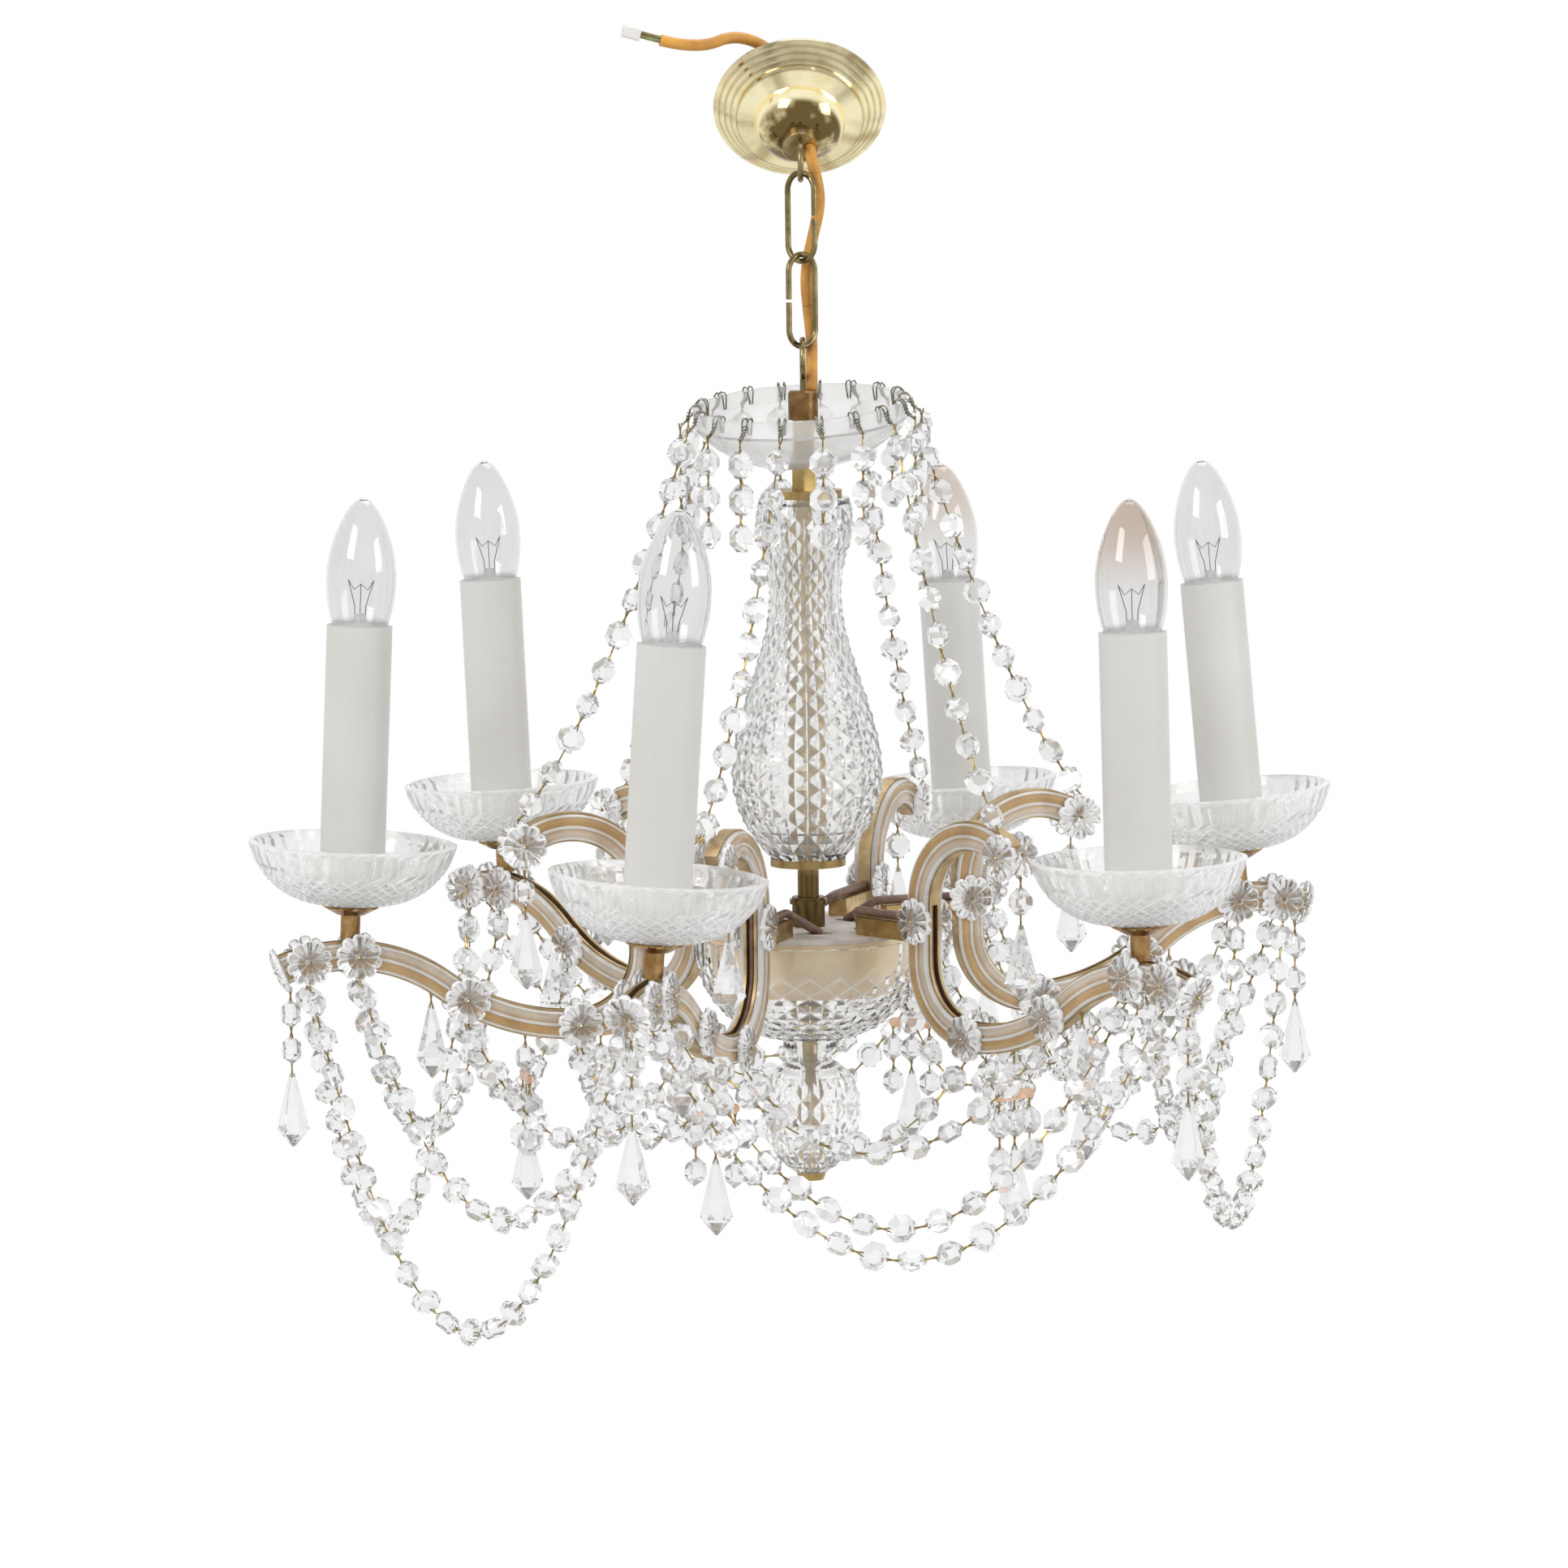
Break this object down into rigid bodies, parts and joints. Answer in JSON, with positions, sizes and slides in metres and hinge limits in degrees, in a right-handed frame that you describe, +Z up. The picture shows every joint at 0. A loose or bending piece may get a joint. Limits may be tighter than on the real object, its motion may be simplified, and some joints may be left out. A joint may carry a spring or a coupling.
{
  "type": "glass chandelier",
  "caption": "Hanging chandelier with glass-covered scrolling arms, candle bulbs over cut-glass pans, a cut-glass column and bowl, and swags of beads, on a short chain under a brass canopy.",
  "frame": {"origin": "middle of the hanging ring, where it sits on a ceiling hook", "axes": "+Z up along the chain, -Y to the pictured front, +X to the viewer's right"},
  "size_m": [0.5621, 0.5558, 0.6516],
  "materials": {
    "polished_brass": "polished, lacquered",
    "aged_brass": "aged, dull",
    "gilt": "satin gilt",
    "grey_paint": "dusty, satin",
    "dark_metal": "satin",
    "dark_plastic": "knurled",
    "orange_flex": "matte sheath",
    "core_plastic": "insulated cores",
    "white_plastic": "moulded",
    "brown_wire": "insulated wire",
    "plain_glass": "clear, plain",
    "cut_glass": "clear, diamond cut",
    "strip_glass": "clear, ridged",
    "bulb_glass": "clear, thin",
    "crystal": "clear, faceted",
    "cream_plastic": "candle sleeve, satin",
    "steel_wire": "bright wire",
    "gold_wire": "bright wire",
    "rose_gold": "satin"
  },
  "bodies": {
    "hanger": {"hanging_ring": "aged_brass"},
    "canopy": {"canopy_dish": "polished_brass", "canopy_collar": "polished_brass", "cord_grommet": "dark_plastic", "cord_tail": "orange_flex", "cord_neck": "orange_flex", "cord_cores": "core_plastic", "terminal_block": "white_plastic"},
    "link_upper": {"chain_link_upper": "aged_brass", "cord_upper": "orange_flex"},
    "link_lower": {"chain_link_lower": "aged_brass", "cord_middle": "orange_flex"},
    "bulb_1": {"bulb_1": "bulb_glass"},
    "bulb_2": {"bulb_2": "bulb_glass"},
    "bulb_3": {"bulb_3": "bulb_glass"},
    "bulb_4": {"bulb_4": "bulb_glass"},
    "bulb_5": {"bulb_5": "bulb_glass"},
    "bulb_6": {"bulb_6": "bulb_glass"},
    "chandelier": {"stem_eye": "aged_brass", "stem_cap": "aged_brass", "central_stem": "aged_brass", "stem_nuts": "aged_brass", "column_discs": "aged_brass", "stem_coupling": "aged_brass", "arm_brackets": "aged_brass", "nipples": "aged_brass", "gallery_cups": "aged_brass", "arm_1": "gilt", "arm_2": "gilt", "arm_3": "gilt", "arm_4": "gilt", "arm_5": "gilt", "arm_6": "gilt", "hub_drum": "gilt", "hub_plate": "grey_paint", "bowl_washer": "dark_metal", "cord_lower": "orange_flex", "lampholders": "white_plastic", "arm_wires": "brown_wire", "crown_dish": "plain_glass", "column_glass": "cut_glass", "hub_bowl": "cut_glass", "finial_ball": "cut_glass", "pan_1": "cut_glass", "pan_2": "cut_glass", "pan_3": "cut_glass", "pan_4": "cut_glass", "pan_5": "cut_glass", "pan_6": "cut_glass", "arm_glass": "strip_glass", "rosettes": "crystal", "upper_beads": "crystal", "outer_beads": "crystal", "inner_beads": "crystal", "spear_drops": "crystal", "candle_sleeves": "cream_plastic", "crown_clips": "steel_wire", "string_links": "gold_wire", "spacer_bars": "rose_gold"}
  },
  "joints": [
    {"name": "canopy_tilt", "type": "hinge", "parent": "hanger", "child": "canopy", "pos_m": [0, 0, 0], "axis": [1, 0, 0], "range_deg": [0, 51], "deforming": ["cord_neck"]},
    {"name": "chain_swing", "type": "hinge", "parent": "hanger", "child": "link_upper", "pos_m": [0, 0, -0.00925], "axis": [0, 1, 0], "range_deg": [-25, 25], "deforming": ["cord_upper"]},
    {"name": "link_swing", "type": "hinge", "parent": "link_upper", "child": "link_lower", "pos_m": [0, 0, -0.05075], "axis": [0.766, -0.6428, 0], "range_deg": [-25, 25], "deforming": ["cord_middle"]},
    {"name": "stem_swing", "type": "hinge", "parent": "link_lower", "child": "chandelier", "pos_m": [0, 0, -0.09425], "axis": [0.766, 0.6428, 0], "range_deg": [-25, 25], "deforming": ["cord_lower"]},
    {"name": "bulb_1_twist", "type": "hinge", "parent": "chandelier", "child": "bulb_1", "pos_m": [-0.23426, -0.05022, -0.39158], "axis": [0.0506, 0, 0.9987], "range_deg": [0, 20]},
    {"name": "bulb_2_twist", "type": "hinge", "parent": "chandelier", "child": "bulb_2", "pos_m": [-0.07598, -0.22709, -0.38738], "axis": [0.0698, 0, 0.9976], "range_deg": [0, 20]},
    {"name": "bulb_3_twist", "type": "hinge", "parent": "chandelier", "child": "bulb_3", "pos_m": [0.16119, -0.17715, -0.38848], "axis": [-0.0209, 0, 0.9998], "range_deg": [0, 20]},
    {"name": "bulb_4_twist", "type": "hinge", "parent": "chandelier", "child": "bulb_4", "pos_m": [0.22856, 0.07075, -0.38349], "axis": [-0.0854, 0, 0.9963], "range_deg": [0, 20]},
    {"name": "bulb_5_twist", "type": "hinge", "parent": "chandelier", "child": "bulb_5", "pos_m": [0.08937, 0.22231, -0.39338], "axis": [-0.0558, 0, 0.9984], "range_deg": [0, 20]},
    {"name": "bulb_6_twist", "type": "hinge", "parent": "chandelier", "child": "bulb_6", "pos_m": [-0.16511, 0.17338, -0.38618], "axis": [-0.0366, 0, 0.9993], "range_deg": [0, 20]}
  ]
}
